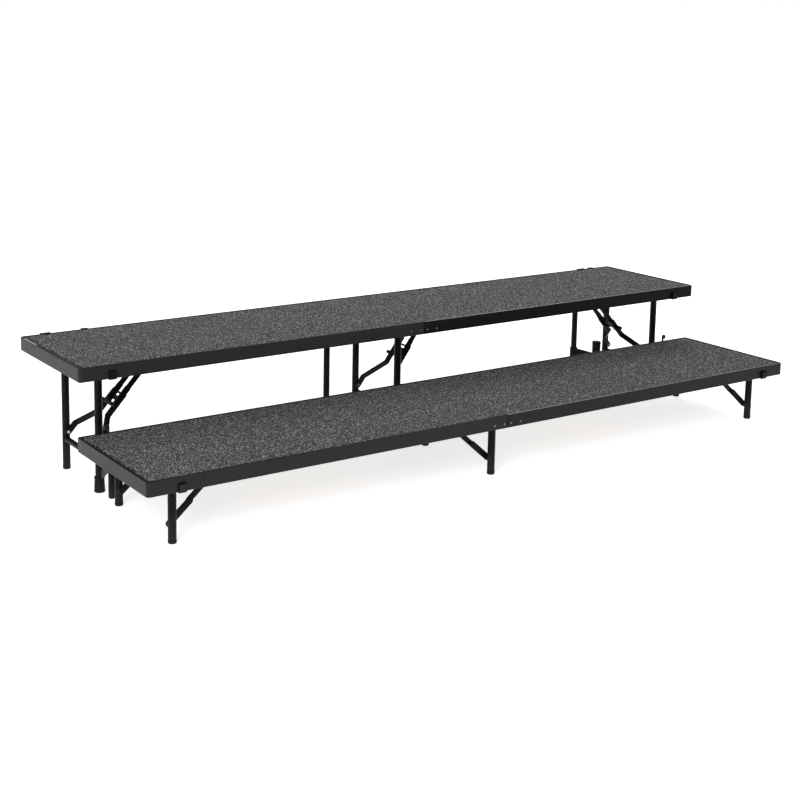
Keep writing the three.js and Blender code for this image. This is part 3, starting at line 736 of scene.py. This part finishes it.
def makeRim(section, half):
    node = f"{section}_rim_{half}"
    piece = refinedCopy(node, 0)
    ends = [point.co.x for point in piece.data.vertices]
    isLeft = half == "left"
    seamX = max(ends) if isLeft else min(ends)
    easeEdges(piece, rims["ease"])
    top, middle = sections[section]["top"], sections[section]["middle"]
    rear = middle + rims["halfDepth"]
    # The back left lip takes a bright patch near its rear corner as a painted highlight
    hasPaintedHighlight = node == "back_rim_left"
    edgeX = rims["halfLength"] - rims["lipEdge"]
    edgeY = rims["halfDepth"] - rims["lipEdge"]
    stripX = seamX + (-rims["seamStrip"] if isLeft else rims["seamStrip"])
    cuts = [((stripX, 0, 0), (1, 0, 0))]
    if hasPaintedHighlight:
        cuts += [((0, rear - rims[key], 0), (0, 1, 0)) for key in ("wornFrom", "wornTo")]
    if not isLeft:
        cuts += [((edgeX, 0, 0), (1, 0, 0)), ((0, middle - edgeY, 0), (0, 1, 0)),
                 ((0, middle + edgeY, 0), (0, 1, 0))]
    cutAcross(piece, cuts)
    smoothShade(piece, rims["smooth"])
    paint(piece, rims["paint"][node], fittingPaint, highlightFinish, lipPaint)
    for face in piece.data.polygons:
        x, y, z = face.center
        outward = abs(y - middle)
        isBeyond = outward > rims["halfDepth"] + rims["proud"]
        isGrey = node == "front_rim_left" and isBeyond and face.normal.y < -rims["forward"]
        isLip = z > top - rims["lipDepth"] and face.normal.z > rims["upward"]
        isSeam = abs(x - seamX) < rims["seamStrip"]
        # The lip is black as painted shade of the groove beside the carpet, and the front left
        # locator's black sides are a painted shade outline round its grey face
        if (isBeyond and not isGrey) or isLip or isSeam or z > top + rims["lugRise"]:
            face.material_index = rims["slots"]["black"]
        isOuter = x > edgeX or outward > edgeY
        # The outer edge of the right halves' lips takes the pale paint as a painted highlight
        if isLip and not isLeft and isOuter and not isBeyond and not isSeam:
            face.material_index = rims["slots"]["pale"]
        # Bright patch on the back left lip near its rear corner: painted highlight
        isAtEnd = x < rims["lipWidth"] - rims["halfLength"]
        if hasPaintedHighlight and isLip and isAtEnd and rims["wornFrom"] < rear - y < rims["wornTo"]:
            face.material_index = rims["slots"]["bright"]
    standIn(piece, node)


for section in sections:
    for half in ("left", "right"):
        makeRim(section, half)
print("stage: rims made")

# Splices: a plate behind the seam and four plated rivets with round heads
splice = {"thickness": 0.003, "rivets": (-0.0505, -0.0125, 0.0125, 0.0505), "shank": 0.0022,
          "head": 0.0042, "crown": 0.0019, "drop": 0.027, "overlap": 0.0001}


# The model faces the front and lies about the middle of its CAD box
def makeSpliceModel():
    low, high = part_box("front_splice_front")
    width, depth, height = high - low
    plateY = (depth - splice["thickness"]) / 2
    headFoot = splice["crown"] - depth / 2
    rivetZ = sections["front"]["top"] - splice["drop"] - (low.z + high.z) / 2
    parts = [flatBar((-width / 2, plateY, 0), (width / 2, plateY, 0), height,
                     splice["thickness"], framePaint)]
    for x in splice["rivets"]:
        parts.append(roundBar((x, plateY, rivetZ), (x, headFoot - splice["overlap"], rivetZ),
                              splice["shank"], rivetFinish, ease=0))
        parts.append(domeHead((x, headFoot, rivetZ), (0, -1, 0), splice["head"],
                              splice["crown"], rivetFinish))
    return joinPieces("splice", parts)


model = makeSpliceModel()
for section in sections:
    for side in ("front", "rear"):
        node = f"{section}_splice_{side}"
        standIn(copyTo(model, camelName(node), centreOf(node), side == "rear"), node)
discard(model)
print("stage: splices made")

# Leg frames: tube legs welded to a pivot tube, with brace pins, and in the back a cross rail.
# The model's origin is the middle of the pivot tube
legs = {
    "radius": 0.01175, "wall": 0.0018, "sides": 32, "tubeEase": 0.0012, "legTop": -0.004,
    "footHeight": 0.012, "pivotPin": 0.006, "pivotProud": 0.0048, "pivotEase": 0.0009,
    "pin": 0.0045, "pinEase": 0.0004, "headProud": 0.0018, "headSink": 0.0008,
    "boss": 0.0068, "rail": 0.009, "rootShare": 0.4, "armThickness": 0.005, "sideGap": 0.0004,
    "bead": 0.0018, "beadGap": 0.0002, "bossBeadShare": 0.8,
    "bossBeadAtShare": 0.72, "railBeadAtShare": 0.78,
    # The back left frame's pins take the bright plating as a painted highlight
    "pinFinish": {"back_left": highlightFinish, "back_centre": rivetFinish,
                  "back_right": rivetFinish},
}


def makeLegParts(own, side):
    radius, bead = legs["radius"], legs["bead"]
    y = side * own["legSpacing"] / 2
    pivotHeight = own["top"] - pivotDrop
    pinZ = own["pinHeight"] - pivotHeight
    armY = own["legSpacing"] / 2 - own["armInset"]
    bossEnd = side * (armY + legs["armThickness"] / 2 + legs["sideGap"])
    pinEnd = side * (armY - legs["armThickness"] / 2 + legs["sideGap"])
    headY = y + side * (radius - legs["headSink"])
    parts = [
        tubeBar((0, y, legs["footHeight"] - pivotHeight), (0, y, legs["legTop"]), radius,
                legs["wall"], framePaint, legs["sides"]),
        weldBead((0, y, -radius - legs["beadGap"]), (0, 0, 1), radius, bead),
        roundBar((0, y - side * radius * legs["rootShare"], pinZ), (0, bossEnd, pinZ),
                 legs["boss"], framePaint),
        weldBead((0, y - side * radius * legs["bossBeadAtShare"], pinZ), (0, 1, 0),
                 legs["boss"], bead * legs["bossBeadShare"]),
        roundBar((0, bossEnd, pinZ), (0, pinEnd, pinZ), legs["pin"], rivetFinish,
                 legs["pinEase"]),
        domeHead((0, headY, pinZ), (0, side, 0), legs["pin"],
                 legs["headProud"] + legs["headSink"], fittingPaint)]
    if own["railHeight"]:
        beadY = y - side * radius * legs["railBeadAtShare"]
        parts.append(weldBead((0, beadY, own["railHeight"] - pivotHeight), (0, 1, 0),
                              legs["rail"] + legs["beadGap"], bead))
    return parts


def makeLegFrameModel(section):
    own = sections[section]
    half = own["legSpacing"] / 2
    radius = legs["radius"]
    tubeEnd = half + radius
    pivotEnd = tubeEnd + legs["pivotProud"]
    parts = [roundBar((0, -tubeEnd, 0), (0, tubeEnd, 0), radius, framePaint, legs["tubeEase"],
                      legs["sides"]),
             roundBar((0, -pivotEnd, 0), (0, pivotEnd, 0), legs["pivotPin"], rivetFinish,
                      legs["pivotEase"])]
    for side in (-1, 1):
        parts += makeLegParts(own, side)
    if own["railHeight"]:
        railZ = own["railHeight"] - own["top"] + pivotDrop
        railEnd = half - radius * legs["rootShare"]
        parts.append(roundBar((0, -railEnd, railZ), (0, railEnd, railZ), legs["rail"],
                              framePaint, ease=0))
    return joinPieces(section + "LegFrame", parts)


for section, own in sections.items():
    model = makeLegFrameModel(section)
    for name, x in own["frameX"].items():
        node = f"{section}_leg_frame_{name}"
        spot = (x, own["legMiddle"], own["top"] - pivotDrop)
        piece = copyTo(model, camelName(node), spot, name in own["turned"])
        for slot in piece.material_slots:
            if slot.material == rivetFinish:
                slot.material = legs["pinFinish"].get(f"{section}_{name}", framePaint)
        standIn(piece, node)
    discard(model)
print("stage: leg frames made")

# Feet: plugs in the leg ends, and taper boots on the two front end legs of the back section
feet = {
    "smooth": 45,
    "plugSides": 32,
    "plugRings": (
        (0.0086, 0), (0.0102, 0.0004), (0.0113, 0.0014), (0.0119, 0.003), (0.01215, 0.0045),
        (0.01215, 0.0088), (0.0117, 0.0094), (0.0117, 0.0101), (0.01215, 0.0107),
        (0.01215, 0.0117), (0.0096, 0.0117), (0.0096, 0.0236), (0.0088, 0.024)),
    "bootSides": 40,
    "bootRings": (
        (0.0128, 0), (0.0149, 0.0006), (0.0159, 0.0018), (0.0162, 0.0034), (0.0160, 0.008),
        (0.0154, 0.0082), (0.0153, 0.0098), (0.0158, 0.0101), (0.0146, 0.0382),
        (0.0144, 0.0405), (0.0152, 0.0409), (0.0156, 0.0417), (0.0156, 0.0459),
        (0.0152, 0.0467), (0.0146, 0.047), (0.01205, 0.047), (0.01205, 0.0117)),
}


def makeFootModel(kind):
    foot = turnedPiece(feet[kind + "Rings"], rubberFinish, feet[kind + "Sides"])
    return joinPieces(kind + "Foot", [foot], feet["smooth"])


plug, boot = makeFootModel("plug"), makeFootModel("boot")
for node in nodes:
    if "_boot_" in node or ("_foot_" in node and not node.startswith("outrigger")):
        low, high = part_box(node)
        spot = ((low.x + high.x) / 2, (low.y + high.y) / 2, low.z)
        standIn(copyTo(boot if "_boot_" in node else plug, camelName(node), spot), node)
discard(plug)
discard(boot)
print("stage: feet made")

# Folding braces: pressed flat arms, with a rivet head on each lower arm's outer side
braces = {"ease": 0.0006, "smooth": 40, "rivetTop": 0.0010}


def makeBrace(node):
    piece = paint(refinedCopy(node, braces["ease"], braces["smooth"]), framePaint)
    if "_lower_arm_" in node:
        piece.data.materials.append(fittingPaint if node.startswith("front") else rivetFinish)
        low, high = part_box(node)
        outer = low.y if node.endswith("front") else high.y
        refinish(piece, lambda face: abs(face.center.y - outer) < braces["rivetTop"])
    standIn(piece, node)


for node in nodes:
    if "_lower_arm_" in node or "_upper_brace_" in node:
        makeBrace(node)
print("stage: braces made")

# Hinge plates: folded sheet with punched ears
hingePlates = {"ease": 0.0005, "smooth": 40}
for node in nodes:
    if "_hinge_plate_" in node:
        piece = refinedCopy(node, hingePlates["ease"], hingePlates["smooth"])
        standIn(paint(piece, fittingPaint), node)
print("stage: hinge plates made")

# Tie posts: a black tube, with a grey hook plate and a grey link down to the boot
tiePost = {"ease": 0.0006, "smooth": 40, "tubeBack": 0.0215, "linkTop": 0.12, "hookFoot": 0.1962}
for node in ("tie_post_left", "tie_post_right"):
    piece = refinedCopy(node, tiePost["ease"], tiePost["smooth"])
    paint(piece, framePaint, linkPaint)
    low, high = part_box(node)
    tubeBack = low.y + tiePost["tubeBack"]
    refinish(piece, lambda face: face.center.z > tiePost["hookFoot"]
             or face.center.y > tubeBack and face.center.z < tiePost["linkTop"])
    standIn(piece, node)
print("stage: tie posts made")

# Support posts under the back deck's rear edge. The right one stands in the outrigger foot
posts = {
    "radius": 0.011, "sides": 32, "ease": 0.0006, "drop": 0.038, "footHeight": 0.012,
    "pivotEase": 0.001, "pin": 0.005, "pinProud": 0.0048, "pinEase": 0.0008,
    "plugRings": (
        (0.00836, 0), (0.01023, 0.0006), (0.011, 0.0016), (0.0114, 0.003), (0.0114, 0.0096),
        (0.0108, 0.0101), (0.0108, 0.0106), (0.0114, 0.0111), (0.0114, 0.012),
        (0.0066, 0.0122)),
}


def makePost(name):
    node = "support_post_" + name
    x, y, _ = centreOf(node)
    pivotZ = sections["back"]["top"] - posts["drop"]
    radius, sides = posts["radius"], posts["sides"]
    pinReach = radius + posts["pinProud"]
    parts = [
        roundBar((x, y - radius, pivotZ), (x, y + radius, pivotZ), radius, framePaint,
                 posts["pivotEase"], sides),
        roundBar((x, y - pinReach, pivotZ), (x, y + pinReach, pivotZ), posts["pin"],
                 rivetFinish, posts["pinEase"]),
        roundBar((x, y, posts["footHeight"]), (x, y, pivotZ), radius, framePaint,
                 posts["ease"], sides)]
    if name == "centre":
        parts.append(turnedPiece(posts["plugRings"], rubberFinish, sides, (x, y)))
    standIn(joinPieces(camelName(node), parts), node)


# Outrigger foot: a sleeve on the right post, a capped stub beside it, and a link between them
outrigger = {
    "sides": 36,
    "smooth": 40,
    "sleeveRings": (
        (0.0115, 0), (0.0136, 0.001), (0.0145, 0.003), (0.0145, 0.1062), (0.0141, 0.1075),
        (0.0134, 0.108), (0.0113, 0.108), (0.0113, 0.0117)),
    "stubRings": (
        (0.0135, 0), (0.0156, 0.001), (0.0165, 0.003), (0.0165, 0.1132), (0.0159, 0.1137),
        (0.0159, 0.1143), (0.0172, 0.1146), (0.0172, 0.1196), (0.0166, 0.1214),
        (0.0153, 0.1226), (0.0135, 0.123), (0.004, 0.123)),
    "stubAway": (0.103, -0.019),
    "linkWidth": 0.024, "linkThickness": 0.006, "linkEase": 0.001,
    "linkHigh": 0.090, "linkLow": 0.064, "highInset": 0.0125, "lowInset": 0.012,
}


def makeOutrigger():
    x, y, _ = centreOf("support_post_right")
    stubX, stubY = x + outrigger["stubAway"][0], y + outrigger["stubAway"][1]
    sleeve = turnedPiece(outrigger["sleeveRings"], framePaint, outrigger["sides"], (x, y))
    stub = turnedPiece(outrigger["stubRings"], framePaint, outrigger["sides"], (stubX, stubY))
    away = Vector((stubX - x, stubY - y, 0)).normalized()
    start = Vector((x, y, outrigger["linkHigh"])) + away * outrigger["highInset"]
    end = Vector((stubX, stubY, outrigger["linkLow"])) - away * outrigger["lowInset"]
    link = flatBar(start, end, outrigger["linkWidth"], outrigger["linkThickness"], framePaint,
                   outrigger["linkEase"])
    node = "outrigger_foot_right"
    standIn(joinPieces(camelName(node), [sleeve, stub, link], outrigger["smooth"]), node)


makePost("centre")
makePost("right")
makeOutrigger()
print("stage: posts made")

# Floor and light
studio = {
    "white": (1, 1, 1, 1),
    "floorSize": 30.0,
    "floorDrop": 0.0005,
    "floorColour": (0.93, 0.93, 0.93, 1),
    "floorGlow": 0.74,
    "worldStrength": 0.42,
    "aim": (0, 0, 0.2),
    "lamps": {
        "key": {"power": 132.0, "spot": (-4.3, -3.3, 2.9), "size": 2.4},
        "top": {"power": 62.0, "spot": (2.4, 1.8, 3.4), "size": 2.6},
    },
}


# 1 for any of the named kinds of ray
def rayMask(tree, kinds):
    rays = addNode(tree, "ShaderNodeLightPath").outputs
    mask = rays[kinds[0]]
    for kind in kinds[1:]:
        mask = addMath(tree, "MAXIMUM", mask, rays[kind])
    return mask


# The floor glows only where it is seen, so it looks white and keeps the object's shadow
def makeFloor():
    bpy.ops.mesh.primitive_plane_add(
        size=studio["floorSize"], location=(0, 0, -studio["floorDrop"]))
    floor = bpy.context.active_object
    floor.name = "studioFloor"
    material, tree = newMaterial("studioFloor")
    matt = addNode(tree, "ShaderNodeBsdfDiffuse", {"Color": studio["floorColour"]})
    glow = addNode(tree, "ShaderNodeEmission", {"Strength": studio["floorGlow"]})
    seen = rayMask(tree, ("Is Camera Ray", "Is Glossy Ray", "Is Transmission Ray"))
    extra = addNode(tree, "ShaderNodeMixShader", {0: seen, 2: glow.outputs[0]})
    finishMaterial(tree, addNode(
        tree, "ShaderNodeAddShader", {0: matt.outputs[0], 1: extra.outputs[0]}))
    floor.data.materials.append(material)


def makeWorld():
    world = bpy.data.worlds.new("studioWorld")
    bpy.context.scene.world = world
    world.use_nodes = True
    tree = world.node_tree
    tree.nodes.clear()
    lit = addNode(tree, "ShaderNodeBackground", {
        "Color": studio["white"], "Strength": studio["worldStrength"]})
    white = addNode(tree, "ShaderNodeBackground", {"Color": studio["white"]})
    seen = rayMask(tree, ("Is Camera Ray", "Is Transmission Ray"))
    mixed = addNode(
        tree, "ShaderNodeMixShader", {0: seen, 1: lit.outputs[0], 2: white.outputs[0]})
    addNode(tree, "ShaderNodeOutputWorld", {"Surface": mixed.outputs[0]})


def makeLamp(name):
    own = studio["lamps"][name]
    data = bpy.data.lights.new(name + "Light", "AREA")
    data.shape = "DISK"
    data.size = own["size"]
    data.energy = own["power"]
    lamp = bpy.data.objects.new(name + "Light", data)
    bpy.context.scene.collection.objects.link(lamp)
    lamp.location = own["spot"]
    aim = Vector(studio["aim"]) - Vector(own["spot"])
    lamp.rotation_euler = aim.to_track_quat("-Z", "Y").to_euler()


makeFloor()
makeWorld()
for name in studio["lamps"]:
    makeLamp(name)
bpy.context.scene.view_settings.view_transform = "Standard"
print("stage: studio made")
